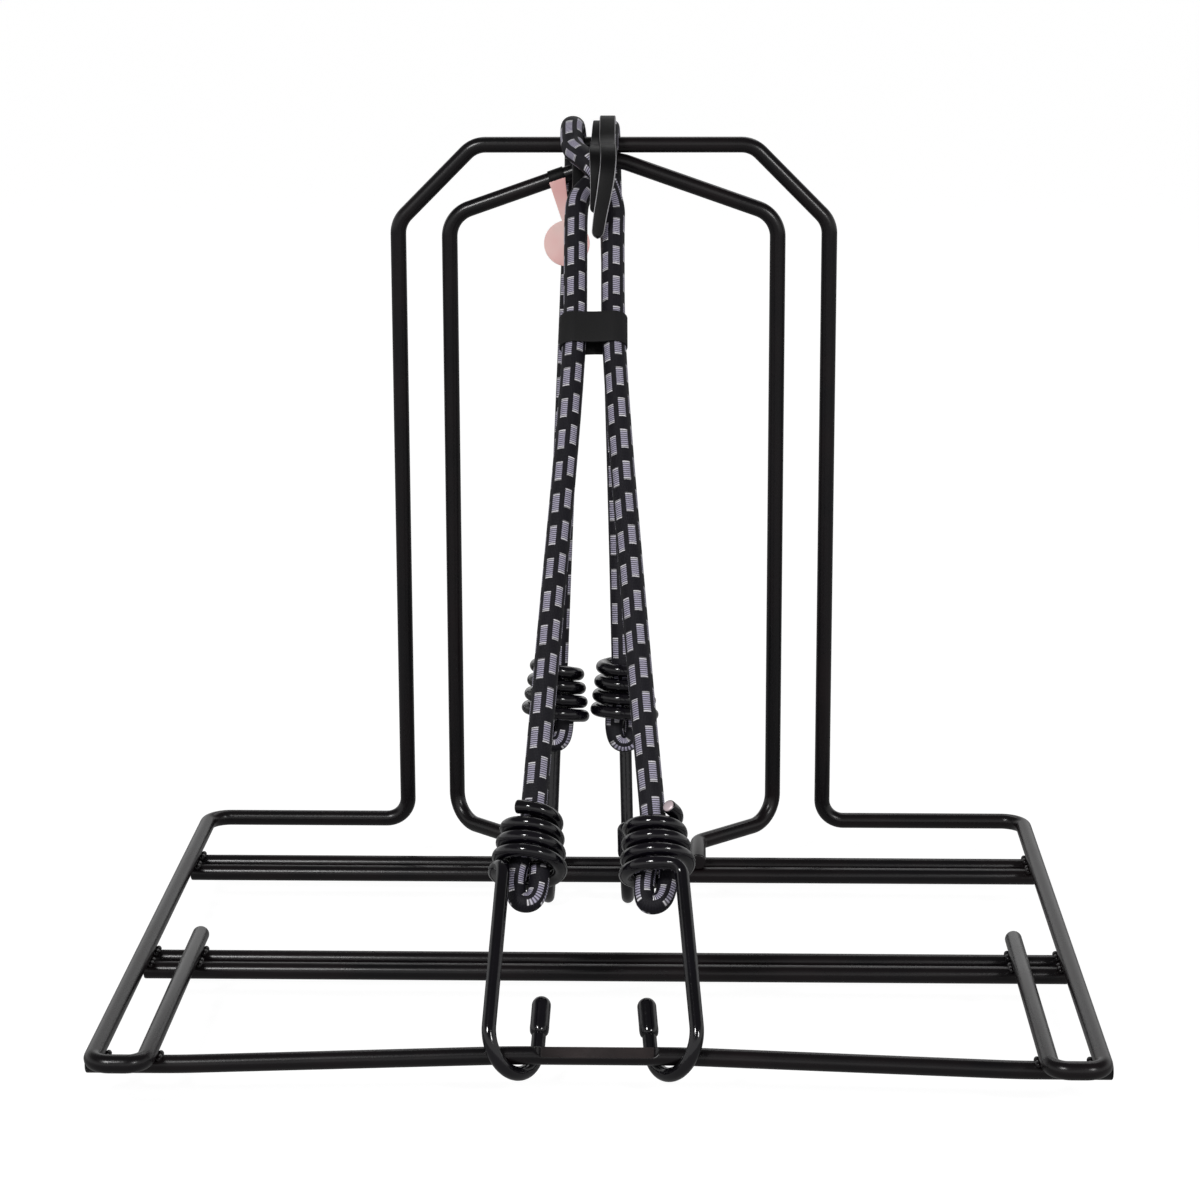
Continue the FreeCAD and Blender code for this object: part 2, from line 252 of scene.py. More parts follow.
def tubeOn(name, line, radius, sides=32, ends="cut", start=(0.0, 0.0, 1.0), shape=None):
    # A ring of the given radius carried along a line, its ends cut with a small bevel or domed.
    along, normal, other = transported(line, start)
    radius = np.broadcast_to(np.asarray(radius, float), len(line))
    centres, radii, dirs = [line], [radius], [(along, normal, other)]
    profile = cutEnd if ends == "cut" else [(b * radius[0], s) for b, s in domeEnd]
    for end, sign in ((0, -1), (-1, 1)):
        if ends is None:
            continue
        p, r = endRings(line[end], sign * along[end], radius[end], profile)
        trio = tuple(np.repeat(d[end][None], len(p), 0) for d in (along, normal, other))
        if end == 0:
            centres[0], radii[0] = line[1:], radius[1:]
            dirs[0] = tuple(d[1:] for d in dirs[0])
            centres.insert(0, p), radii.insert(0, r), dirs.insert(0, trio)
        else:
            centres[-1], radii[-1] = centres[-1][:-1], radii[-1][:-1]
            dirs[-1] = tuple(d[:-1] for d in dirs[-1])
            centres.append(p[::-1]), radii.append(r[::-1]), dirs.append(tuple(d[::-1] for d in trio))
    centre, r = np.vstack(centres), np.concatenate(radii)
    n, b = (np.vstack([d[k] for d in dirs]) for k in (1, 2))
    turn = np.arange(sides) / sides
    angle = 2 * np.pi * turn
    spoke = np.cos(angle)[:, None] * n[:, None] + np.sin(angle)[:, None] * b[:, None]
    rings = centre[:, None] + r[:, None, None] * spoke
    if shape is not None:
        rings = shape(centre, rings)
    poles = (None, None) if ends is None else (rings[0].mean(0), rings[-1].mean(0))
    return meshOf(name, rings, turn, distances(centre), poles)


def bentLine(points, bends, step=0.0009):
    # Straight runs joined by arcs tangent to both, one radius for each inner point.
    points = np.array(points, float)
    parts = [points[:1]]
    for before, corner, after, bend in zip(points, points[1:], points[2:], bends):
        came, goes = unit(corner - before), unit(after - corner)
        turn = math.acos(float(np.clip(came @ goes, -1, 1)))
        if turn < 1e-5:
            continue
        inward = unit(goes - came)
        centre = corner + inward * bend / math.cos(turn / 2)
        first = corner - came * bend * math.tan(turn / 2)
        angle = np.linspace(0, turn, max(5, int(turn * bend / step)))[:, None]
        parts.append(centre + bend * (np.cos(angle) * unit(first - centre) + np.sin(angle) * came))
    parts.append(points[-1:])
    line = np.vstack(parts)
    keep = np.concatenate([[True], np.linalg.norm(np.diff(line, axis=0), axis=1) > 1e-6])
    return line[keep]


def mirrored(points):
    # The left half's points, then their mirror images back to front.
    return points + [(-x, y, z) for x, y, z in reversed(points)]


# where the CAD has things

frameLow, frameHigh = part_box("outer_frame_wire")
barLow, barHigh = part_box("hook_bar")
pairBoxes = {place: (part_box(place + "_cross_wire_back"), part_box(place + "_cross_wire_front"))
             for place in ("rear", "front")}
wireR = (pairBoxes["rear"][0][1].z - pairBoxes["rear"][0][0].z) / 2
railX = frameHigh.x - wireR
railZ = frameLow.z + wireR
rearY = frameHigh.y - wireR
frontY = frameLow.y + wireR
topZ = frameHigh.z - wireR
hookNames = ("front_left", "front_right", "rear_left", "rear_right")
hookUp = {j["child"].removesuffix("_hook"): -np.array(j["axis"], float)
          for j in frame["joints"] if j["child"].endswith("_hook")}

hookSet = {
    "wireR": 0.0025,
    "bendR": 0.01275,
    "stemBend": 0.0046,
    "stemOut": 0.010,        # a front hook's stem leaves its bend this far out for this far aside
    "stemAside": 0.008,
    "reach": 0.060,          # bend's centre to the coil's foot
    "topR": 0.0082,
    "pitch": 0.0056,
    "turns": 4,
    "corners": 8,            # per turn
    "step": 0.0007,          # between points of the wire's line
    "sides": 32,
    "tipHeight": 0.019,
    "tipR": 0.00335,
    "tipLength": 0.014,
    "centre": {
        "front_left": (-0.0289, rearY - 0.25917, railZ + 0.001705),
        "front_right": (0.0260, rearY - 0.25917, railZ + 0.001705),
        "rear_left": (-0.0255, rearY - 0.0488, 0.01525),
        "rear_right": (0.0062, rearY - 0.0488, 0.01525),
    },
    # how far the last turn's end stands up
    "lift": {"front_left": 0.0010, "front_right": 0.0016, "rear_left": 0.0005, "rear_right": 0.0005},
}
coilHeight = hookSet["pitch"] * hookSet["turns"]


def onCord(name, back, aside=0.0):
    # Point on a hook's own cord line: how far above the coil's top, and how far to the right.
    up = hookUp[name]
    side = unit(np.array((1.0, 0.0, 0.0)) - up * up[0])
    return np.array(hookSet["centre"][name]) + up * (hookSet["reach"] + coilHeight + back) + side * aside


# cords

cordSet = {
    "r": 0.0046,
    "squeezedR": 0.0036,
    "sides": 40,
    "squeezeOver": 0.009,    # length over which a cord narrows as it goes into its coil
    "stretchFrom": {"front": 0.185, "rear": 0.180},
    "loopAside": {"front_right": -0.0026},
    # share of its thickness left where it lies on the bar
    "flat": {"front_right": 0.84, "front_left": 0.76},
    "flatReach": 0.0125,     # from the bar's middle to where a cord is round again
    "flatFade": 0.0045,
    "flatDrop": 0.012,       # how far below the bar's middle it may be flat
    "coilReach": 0.06,       # a coil squeezes its cord within this distance of its top
}

# Each cord turns over the top bar and then crosses the other one in front of it. The first list is
# x, forward and up from the bar; the second x, down the front cords' line and out from that line's
# parallel through the bar, all in metres.
overKnot = {
    "over": [(-0.0153, -0.0092, -0.0130), (-0.0154, -0.0084, 0.0018), (-0.0160, -0.0048, 0.0069),
             (-0.0163, 0.0016, 0.0080), (-0.0165, 0.0074, 0.0050)],
    "down": [(-0.0158, 0.0110, 0.0112), (-0.0098, 0.0205, 0.0184), (-0.0030, 0.0290, 0.0182),
             (0.0008, 0.0370, 0.0098), (0.0007, 0.0440, 0.0080), (0.0007, 0.0520, 0.00798),
             (0.0008, 0.0600, 0.00798), (0.0015, 0.1050, 0.00798)],
}
underKnot = {
    "over": [(-0.0016, -0.0092, -0.0130), (-0.0018, -0.0082, 0.0015), (-0.0020, -0.0046, 0.0064),
             (-0.0022, 0.0016, 0.0074), (-0.0024, 0.0067, 0.0040)],
    "down": [(-0.0024, 0.0110, 0.0076), (-0.0060, 0.0225, 0.0073), (-0.0134, 0.0310, 0.0075),
             (-0.0140, 0.0410, 0.0079), (-0.0139, 0.0500, 0.00798), (-0.01375, 0.0600, 0.00798),
             (-0.0131, 0.1050, 0.00798)],
}
bandAxis = np.array(next(j["axis"] for j in frame["joints"] if j["child"] == "cord_band"), float)
frontDown = -unit(bandAxis * (0.0, 1.0, 1.0))
frontOut = np.array((0.0, frontDown[2], -frontDown[1]))


def overBar(x, forward, up):
    # Point forward of and above the top bar's middle.
    return np.array((x, rearY - forward, topZ + up))


def downFront(x, down, out):
    # Point down the front cords' direction from the top bar, and out from it.
    return np.array((x, rearY, topZ)) + frontDown * down + frontOut * out


def inKnot(points):
    return [overBar(*p) for p in points["over"]] + [downFront(*p) for p in points["down"]]


def intoCoil(name):
    # From above the coil down into it, round the loop and back up.
    aside = cordSet["loopAside"].get(name, 0.0)
    route = [(0.054, 0.0), (0.004, 0.0), (-0.005, 0.0), (-0.018, -0.0036), (-0.0262, -0.0044 + aside / 2),
             (-0.0325, -0.0027 + aside), (-0.0325, 0.0027 + aside), (-0.0262, 0.0044 + aside / 2),
             (-0.019, 0.0040)]
    return [onCord(name, *place) for place in route]


def splineLine(points):
    # The line of a smooth curve that follows the points as its control points.
    curve = bpy.data.curves.new("route", "CURVE")
    curve.dimensions = "3D"
    curve.resolution_u = 24
    spline = curve.splines.new("NURBS")
    spline.points.add(len(points) - 1)
    for point, place in zip(spline.points, points):
        point.co = (*place, 1.0)
    spline.order_u = 3
    spline.use_endpoint_u = True
    holder = bpy.data.objects.new("route", curve)
    mesh = bpy.data.meshes.new_from_object(holder)
    line = np.empty(len(mesh.vertices) * 3)
    mesh.vertices.foreach_get("co", line)
    bpy.data.objects.remove(holder)
    bpy.data.meshes.remove(mesh)
    bpy.data.curves.remove(curve)
    return line.reshape(-1, 3)


def cordHalves(rearName, frontName, knot):
    # One cord from its rear coil over the bar to its front coil, made in two halves that share a ring.
    rear, front = intoCoil(rearName), intoCoil(frontName)
    route = rear[::-1] + inKnot(knot) + front
    line = splineLine(route)
    gone = distances(line)
    seam = int(np.argmax(line[:, 2]))
    along, normal, other = transported(line, (0.0, 1.0, 0.0))
    mark = int(np.argmin(np.linalg.norm(line - onCord(frontName, 0.1), axis=1)))
    out = np.cross((1.0, 0.0, 0.0), along[mark])
    spin = math.atan2(out @ other[mark], out @ normal[mark])
    turn = np.arange(cordSet["sides"]) / cordSet["sides"]
    angle = 2 * np.pi * turn + spin
    radius = np.full(len(line), cordSet["r"])
    for name in (rearName, frontName):
        height = (line - onCord(name, 0.001)) @ hookUp[name]
        inCoil = np.clip(-height / cordSet["squeezeOver"], 0, 1)
        inCoil *= np.linalg.norm(line - onCord(name, 0.0), axis=1) < cordSet["coilReach"]
        radius -= (cordSet["r"] - cordSet["squeezedR"]) * inCoil * inCoil * (3 - 2 * inCoil)
    spoke = np.cos(angle)[:, None] * normal[:, None] + np.sin(angle)[:, None] * other[:, None]
    fromBar = (line - (0.0, rearY, topZ)) * (0.0, 1.0, 1.0)
    away = np.linalg.norm(fromBar, axis=1)
    press = np.clip((cordSet["flatReach"] - away) / cordSet["flatFade"], 0, 1)
    press = (1 - cordSet["flat"][frontName]) * press * press * (3 - 2 * press)
    press *= line[:, 2] > topZ - cordSet["flatDrop"]
    outward = fromBar / away[:, None]
    spoke -= (press[:, None] * np.einsum("ijk,ik->ij", spoke, outward))[..., None] * outward[:, None]
    rings = line[:, None] + radius[:, None, None] * spoke
    made = {}
    for name, part in ((rearName, slice(0, seam + 1)), (frontName, slice(seam, None))):
        piece = meshOf(name + "_cord_line", rings[part], turn, gone[part],
                       tuple(rings[part][e].mean(0) for e in (0, -1)))
        made[name] = (piece, line[part] if name == frontName else line[part][::-1])
    return made


cords = {}
cords.update(cordHalves("rear_left", "front_right", overKnot))
cords.update(cordHalves("rear_right", "front_left", underKnot))
for name, (piece, path) in cords.items():
    print(name, "cord length", round(distances(path)[-1], 4))
print("cords")

# hooks

# height above a tip's foot, and how far its dip stands off the wire
tipLip = [(0.0, 0.0001), (0.0001, 0.00035), (0.0005, 0.00062), (0.0012, 0.0008), (0.0024, 0.0009)]


def hookPoints(s, lift):
    # Stem and bend from the tip's end up to the coil, then corners of a cone that narrows as it climbs.
    corners = s["turns"] * s["corners"]
    k = np.arange(corners + 1)
    step = 2 * math.pi / s["corners"]
    spread = 1 / math.cos(step / 2)
    endR = s["bendR"] / spread
    r = spread * (endR + (s["topR"] - endR) * k / corners)
    lastTurn = np.clip(1 - (corners - k) / s["corners"], 0, 1)
    z = s["reach"] + s["pitch"] * k / s["corners"] + lift * lastTurn ** 1.5
    coil = np.stack([r * np.cos(-k * step), r * np.sin(-k * step), z], -1)
    runs = np.diff(coil, axis=0)
    lengths = np.linalg.norm(runs, axis=1)
    turns = np.arccos(np.clip((unit(runs[:-1]) * unit(runs[1:])).sum(1), -1, 1))
    bends = 0.49 * np.minimum(lengths[:-1], lengths[1:]) / np.tan(turns / 2)
    low = [(-s["bendR"], 0, s["tipHeight"] - s["tipR"]), (-s["bendR"], 0, -s["bendR"]),
           (s["bendR"], 0, -s["bendR"])]
    return np.vstack([low, coil]), [s["bendR"] * 0.999] * 2 + [s["stemBend"]] + bends.tolist()


def hookAxes(name):
    # A hook's own axes: its cord up, its stem across.
    up = hookUp[name]
    if name.startswith("front"):
        sign = -1 if name.endswith("left") else 1
        out = unit(np.array((0.0, -up[2], up[1])))
        stem = out * hookSet["stemOut"] + np.array((sign * hookSet["stemAside"], 0.0, 0.0))
    else:
        stem = np.array((0.0, 1.0, 0.0))
    across = unit(stem - up * (stem @ up))
    return np.stack([across, np.cross(up, across), up])


def makeHook(name, s):
    # A hook's wire and its dipped tip: a sleeve that starts with a rounded lip and ends in a dome.
    axes, centre = hookAxes(name), np.array(s["centre"][name])
    points, bends = hookPoints(s, s["lift"][name])
    line = bentLine(points, bends, s["step"]) @ axes + centre
    wire = tubeOn(name + "_hook_wire", line, s["wireR"], s["sides"], "cut", axes[0])
    foot = np.array((-s["bendR"], 0, s["tipHeight"] - s["tipLength"]))
    straight = s["tipLength"] - s["tipR"]
    arc = np.linspace(0.0, math.pi / 2 - 0.05, 14)[1:]
    lipZ, lipOver = np.array(tipLip).T
    z = np.concatenate([lipZ, np.linspace(0.004, straight, 8), straight + s["tipR"] * np.sin(arc)])
    r = np.concatenate([s["wireR"] + lipOver, np.full(8, s["tipR"]), s["tipR"] * np.cos(arc)])
    turn = np.arange(s["sides"]) / s["sides"]
    ring = np.stack([np.cos(2 * np.pi * turn), np.sin(2 * np.pi * turn), np.zeros(s["sides"])], -1)
    local = r[:, None, None] * ring + foot + z[:, None, None] * np.array((0, 0, 1.0))
    rings = local @ axes + centre
    top = np.array((-s["bendR"], 0, s["tipHeight"])) @ axes + centre
    bottom = rings[0].mean(0)
    tip = meshOf(name + "_tip_dip", rings, turn, z, (bottom, top))
    for piece, node in ((wire, "_hook"), (tip, "_hook_tip")):
        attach(piece, name + "_hook")
        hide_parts(name + node)
    return wire, tip


hooks = {name: makeHook(name, hookSet) for name in hookNames}


def paleEnd(name, s):
    # Thin domed disc on the cut end of a coil, coloured pale.
    axes, centre = hookAxes(name), np.array(s["centre"][name])
    points, bends = hookPoints(s, s["lift"][name])
    line = bentLine(points, bends, s["step"])[-3:] @ axes + centre
    along = unit(line[-1] - line[-2])
    side = unit(np.cross(along, axes[2]))
    other = np.cross(along, side)
    angle = np.linspace(0, 2 * math.pi, 32, endpoint=False)
    ring = np.cos(angle)[:, None] * side + np.sin(angle)[:, None] * other
    forward, radius = np.array([(-0.00050, 0.0021), (0.0, 0.0021), (0.00022, 0.0019), (0.00040, 0.0011)]).T
    crown = line[-1] + 0.00044 * along
    rings = line[-1] + forward[:, None, None] * along + radius[:, None, None] * ring
    disc = meshOf(name + "_bare_end", rings, angle / (2 * math.pi), forward, (rings[0].mean(0), crown))
    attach(disc, name + "_hook")
    return disc


paleEndDisc = paleEnd("front_right", hookSet)
print("hooks")

for name, (piece, path) in cords.items():
    still = onCord(name, cordSet["stretchFrom"][name.split("_")[0]])     # it stretches below this point
    tuple(onCord(name, 0.004))
    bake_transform(piece)
    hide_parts(name + "_cord", name + "_cord_end")
    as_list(hooks[name])

# frame wires

wireSet = {
    "hoopX": 0.0871,
    "topRun": 0.056,
    "legIn": 0.018,
    "legEnd": 0.149,
    "cornerBend": 0.009,
    "hoopBend": 0.011,
    "hairpinBend": 0.0065,
    "braceX": 0.0663,
    "braceSlope": 0.35,
    "footX": 0.035,
    "footEnd": 0.058,
    "braceBend": 0.012,
    "footBend": 0.006,
    "apexBend": 0.018,
    "sides": 36,
}
# the brace's top corner, before it is rounded; it lies under the top bar
apexZ = topZ - 2 * wireR + wireSet["apexBend"] * (math.hypot(1, wireSet["braceSlope"]) - 1)


def frameWires(s):
    # The outer wire, the brace and the four cross wires, as bent or straight lines of round wire.
    inner = railX - s["legIn"]
    chamfer = s["hoopX"] - s["topRun"]
    left = [(-inner, rearY - s["legEnd"], railZ), (-inner, frontY, railZ), (-railX, frontY, railZ),
            (-railX, rearY, railZ), (-s["hoopX"], rearY, railZ), (-s["hoopX"], rearY, topZ - chamfer),
            (-s["topRun"], rearY, topZ)]
    bends = [s["hairpinBend"]] * 2 + [s["cornerBend"]] * 2 + [s["hoopBend"]] * 2
    outer = tubeOn("frame_wire", bentLine(mirrored(left), bends + bends[::-1]), wireR, s["sides"])
    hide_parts("outer_frame_wire")
    left = [(-s["footX"], rearY - s["footEnd"], railZ),
            (-s["footX"], rearY - (s["braceX"] - s["footX"]), railZ), (-s["braceX"], rearY, railZ),
            (-s["braceX"], rearY, apexZ - s["braceSlope"] * s["braceX"])]
    points = left + [(0.0, rearY, apexZ)] + mirrored(left)[len(left):]
    bends = [s["footBend"], s["braceBend"], s["braceBend"]]
    brace = tubeOn("brace_wire", bentLine(points, bends + [s["apexBend"]] + bends[::-1]), wireR, s["sides"])
    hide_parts("inner_brace_wire")
    made = [outer, brace]
    for place, boxes in pairBoxes.items():
        for side, (low, high) in zip(("back", "front"), boxes):
            y, z = (low.y + high.y) / 2, (low.z + high.z) / 2
            line = np.array([(low.x, y, z), (0.0, y, z), (high.x, y, z)])
            wire = tubeOn(place + "_wire_" + side, line, wireR, s["sides"])
            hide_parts(place + "_cross_wire_" + side)
            made.append(wire)
    return made


barSet = {
    "riseX": 0.144,
    "shelfX": 0.030,
    "bend": 0.4,
    "flatX": 0.022,
    "flatFade": 0.003,
    "flatDepth": 0.0016,
    "flatTilt": 20.0,        # degrees, towards the front
    "wornFrom": 0.97,        # least cosine between a worn face's direction and the flat's
    "points": 700,
    "sides": 48,
}
flatTilt = math.radians(barSet["flatTilt"])
flatFace = np.array((0.0, -math.sin(flatTilt), math.cos(flatTilt)))


def hookBar(s):
    # Round bar pulled up and back at its middle, pressed flat on top between the hooks.
    endY, endZ = barLow.y + wireR, barLow.z + wireR
    midY, midZ = barHigh.y - wireR, barHigh.z - wireR
    left = [(barLow.x, endY, endZ), (-s["riseX"], endY, endZ), (-s["shelfX"], midY, midZ)]
    line = bentLine(mirrored(left), [s["bend"]] * 4, 0.002)
    share, count = distances(line) / distances(line)[-1], np.arange(len(line))
    fine = np.interp(np.linspace(0, 1, s["points"]), share, count)
    line = np.stack([np.interp(fine, count, line[:, k]) for k in range(3)], -1)

    def pressed(centre, rings):
        offset = (rings - centre[:, None]) @ flatFace
        inside = np.clip((s["flatX"] - np.abs(rings[..., 0])) / s["flatFade"], 0, 1)
        limit = wireR - s["flatDepth"] * inside * inside * (3 - 2 * inside)
        return rings - np.maximum(offset - limit, 0)[..., None] * flatFace

    bar = tubeOn("front_bar", line, wireR, s["sides"], "cut", tuple(flatFace), pressed)
    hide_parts("hook_bar")
    return bar


weldSet = {
    "long": 0.0042,
    "wide": 0.0012,
    "sink": 0.0030,
    "aside": 0.55,           # of the wire's radius, from its middle
    "above": 0.93,
    "rows": 7,
    "sides": 16,
}


def weldBeads(s):
    # Small beads on both sides of every joint between a cross wire and the rails or hairpin legs over it.
    lat, turn = np.meshgrid(np.linspace(-math.pi / 2, math.pi / 2, s["rows"] + 2)[1:-1],
                            np.linspace(0, 2 * math.pi, s["sides"], endpoint=False), indexing="ij")
    ball = np.stack([np.cos(lat) * np.cos(turn), np.cos(lat) * np.sin(turn), np.sin(lat)], -1)
    size = np.array((s["wide"], s["long"] / 2, s["wide"]))
    around, rows = np.arange(s["sides"]) / s["sides"], np.linspace(0, 1, s["rows"])
    lines = {place: [((low.y + high.y) / 2, (low.z + high.z) / 2) for low, high in boxes]
             for place, boxes in pairBoxes.items()}
    lines["bar"] = [(barLow.y + wireR, barLow.z + wireR)]
    legX = railX - wireSet["legIn"]
    made = []
    for place, k, (y, z) in [(place, k, at) for place in lines for k, at in enumerate(lines[place])]:
        for x in (-railX, railX) if place == "rear" else (-railX, railX, -legX, legX):
            for side in (-1, 1):
                middle = np.array((x - math.copysign(s["sink"], x), y + side * wireR * s["aside"],
                                   z + wireR * s["above"]))
                name = "weld_%s_%d_%d_%d" % (place, k, round(x * 1000), side)
                poles = (middle - (0, 0, s["wide"]), middle + (0, 0, s["wide"]))
                made.append(meshOf(name, middle + ball * size, around, rows, poles))
    return made


wires = frameWires(wireSet)
frontBar = hookBar(barSet)
wires += [frontBar] + weldBeads(weldSet)
for piece in wires:
    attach(piece, "frame")
print("frame wires")

# band, strap and tag

def roundedBox(width, height, corner, count=6):
    # Outline of a rectangle with round corners, as points in a plane, anticlockwise.
    angle = np.linspace(0, math.pi / 2, count)
    parts = []
    for quarter, (sx, sy) in enumerate(((1, 1), (-1, 1), (-1, -1), (1, -1))):
        a = angle + quarter * math.pi / 2
        centre = np.array((sx * (width / 2 - corner), sy * (height / 2 - corner)))
        parts.append(centre + corner * np.stack([np.cos(a), np.sin(a)], -1))
    return np.vstack(parts)


bandSet = {
    "length": 0.0138,
    "aboveBend": 0.010,      # where the cords part, up to its middle
    "inner": 0.0047,
    "wall": 0.0009,
    "slack": 0.0006,         # how far its left end stands off the cord
    "dip": 0.0007,           # between the cords
    "edge": 0.0004,          # radius of the strip's edges
    "points": 160,
}


def cordBand(s):
    # A strip's section carried round both cords, its path a long oval that bulges a little at the left.
    left, right = (downFront(*knot["down"][-1]) for knot in (underKnot, overKnot))
    up = unit(bandAxis)
    across = unit(right - left - up * ((right - left) @ up))
    depth = np.cross(up, across)
    half = np.linalg.norm(right - left) / 2
    foot = (left + right) / 2 + up * (s["aboveBend"] - s["length"] / 2)
    radius = s["inner"] + s["wall"] / 2
    run, bend = 2 * half, math.pi * radius
    d = np.linspace(0, 2 * (run + bend), s["points"], endpoint=False)
    a1, a2 = (d - run) / radius, (d - 2 * run - bend) / radius
    where = [d < run, d < run + bend, d < 2 * run + bend]
    x = np.select(where, [d - half, half + radius * np.sin(a1), half - (d - run - bend)],
                  -half - radius * np.sin(a2))
    y = np.select(where, [-radius + 0 * d, -radius * np.cos(a1), radius + 0 * d], radius * np.cos(a2))
    swell = np.clip((-x - half) / radius, 0, 1) * s["slack"]
    sag = np.clip(1 - (x / half) ** 2, 0, 1) * s["dip"] * np.sign(y)
    x, y = x - swell, y - sag
    gx, gy = (np.gradient(np.concatenate([v[-1:], v, v[:1]]))[1:-1] for v in (x, y))
    outX, outY = gy / np.hypot(gx, gy), -gx / np.hypot(gx, gy)
    section = roundedBox(s["wall"], s["length"], s["edge"])
    px = x[:, None] + outX[:, None] * section[:, 0]
    py = y[:, None] + outY[:, None] * section[:, 0]
    height = (section[:, 1] + s["length"] / 2)[None, :, None]
    rings = foot + px[..., None] * across + py[..., None] * depth + height * up
    band = meshOf("band_strip", rings, np.arange(len(section)) / len(section), d, closed=True)
    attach(band, "cord_band")
    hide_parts("cord_band")
    return band


band = cordBand(bandSet)

strapSet = {
    "wall": 0.0011,
    "corner": 0.45,          # of its wall, the radius of its edges
    "tongue": 0.6,           # of the end's width, how far the rounding of the end goes up
    "narrowOver": 0.024,     # length over which it narrows to the end's width
    "hemThicker": 0.25,      # share by which the hems stand out
    "hemFrom": 0.38,         # of the width, from the middle to where a hem is thicker
    "paintedLineFrom": 0.455,       # and to where its edge has a painted highlight line
}

# A strand's points are given as the cords' points in the knot are.
strandSet = {
    "strap_front": {"width": 0.0064, "endWidth": 0.0048, "points": {
        "over": [(-0.0024, -0.0149, -0.0125), (-0.0024, -0.0146, 0.0040), (-0.0023, -0.0078, 0.0098),
                 (-0.0022, 0.0014, 0.0114), (-0.0021, 0.0088, 0.0084)],
        "down": [(-0.0020, 0.0110, 0.0160), (-0.0012, 0.0190, 0.0236), (-0.0011, 0.0300, 0.0256),
                 (-0.0026, 0.0395, 0.0214), (-0.0044, 0.0475, 0.0168), (-0.0052, 0.0555, 0.0146)]}},
    "strap_second": {"width": 0.0044, "endWidth": 0.0040, "points": {
        "over": [(-0.0060, -0.0040, 0.0080), (-0.0058, 0.0016, 0.0098), (-0.0060, 0.0080, 0.0078)],
        "down": [(-0.0064, 0.0110, 0.0140), (-0.0066, 0.0190, 0.0236), (-0.0062, 0.0280, 0.0248),
                 (-0.0060, 0.0370, 0.0200), (-0.0064, 0.0440, 0.0150)]}},
    "strap_behind": {"width": 0.0080, "endWidth": 0.0076, "points": {
        "over": [(-0.0122, 0.0040, -0.0020), (-0.0124, 0.0046, -0.0080), (-0.0126, 0.0052, -0.0150),
                 (-0.0127, 0.0060, -0.0215)],
        "down": []}},
}


def strapStrand(name, strand, s):
    # A flat section carried along a smooth line; its free end is rounded like a tongue.
    width, endWidth, wall = strand["width"], strand["endWidth"], s["wall"]
    line = splineLine(inKnot(strand["points"]))
    along = transported(line)[0]
    across = unit(np.array((1.0, 0.0, 0.0)) - along * along[:, :1])
    out = np.cross(across, along)
    left = distances(line)[-1] - distances(line)
    tongue = np.clip(left / (s["tongue"] * endWidth), 0, 1)
    narrow = np.clip(1 - left / s["narrowOver"], 0, 1)
    wide = np.sqrt(np.clip(1 - (1 - tongue) ** 2, 0.004, 1)) * (1 - (1 - endWidth / width) * narrow)
    section = roundedBox(width, wall, wall * s["corner"])
    edge = 1 + s["hemThicker"] * (np.abs(section[:, 0]) > s["hemFrom"] * width)
    rings = (line[:, None] + (wide[:, None] * section[:, 0])[..., None] * across[:, None]
             + (section[:, 1] * edge)[None, :, None] * out[:, None])
    poles = (rings[0].mean(0), rings[-1].mean(0))
    piece = meshOf(name, rings, np.arange(len(section)) / len(section), distances(line), poles)
    # faces along both edges of the section, which get the painted highlight line
    onPaintedLine = np.abs(section + np.roll(section, -1, 0))[:, 0] / 2 > s["paintedLineFrom"] * width
    paintedLineFaces = np.zeros(len(piece.data.polygons), np.int32)
    quads = (len(rings) - 1) * len(section)
    paintedLineFaces[:quads] = np.tile(onPaintedLine, len(rings) - 1)
    piece.data.polygons.foreach_set("material_index", paintedLineFaces)
    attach(piece, "frame")
    return piece


strands = {name: strapStrand(name, strand, strapSet) for name, strand in strandSet.items()}
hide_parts("top_strap")

tagSet = {
    "thick": 0.0005,
    "discR": 0.0092,
    "discX": -0.0186,
    "drop": 0.0395,
    "loopX": -0.0225,
    "loopWidth": 0.0064,
    "loopWall": 0.0004,
    "fit": 0.0003,           # between the wire and the loop's middle
    "neckLow": 0.0014,
    "neckThin": 0.8,         # of the disc's thickness
    "neckLap": 0.002,        # how far the neck goes over the disc
    "neckDrop": 0.001,       # from the loop's axis to the neck's top
    "lean": 7.0,             # degrees, the disc in front of the loop
}


def flatPiece(name, outline, thick, plane):
    # A card: its outline's rings run from the middle of one face out, over the edge and back in.
    middle = outline.mean(0)
    shares = np.array([0.45, 0.8, 0.97, 1.0, 1.0, 0.97, 0.8, 0.45])
    depths = np.array([-0.5, -0.5, -0.5, -0.3, 0.3, 0.5, 0.5, 0.5]) * thick
    rings = middle + shares[:, None, None] * (outline - middle)
    rings = np.concatenate([rings, np.broadcast_to(depths[:, None, None], rings.shape[:2] + (1,))], -1)

    def place(p):
        return plane[0] + p[..., :1] * plane[1] + p[..., 1:2] * plane[2] + p[..., 2:] * plane[3]

    poles = tuple(place(np.array((*middle, d))) for d in (-thick / 2, thick / 2))
    return meshOf(name, place(rings), np.arange(len(outline)) / len(outline), np.linspace(0, 1, 8), poles)


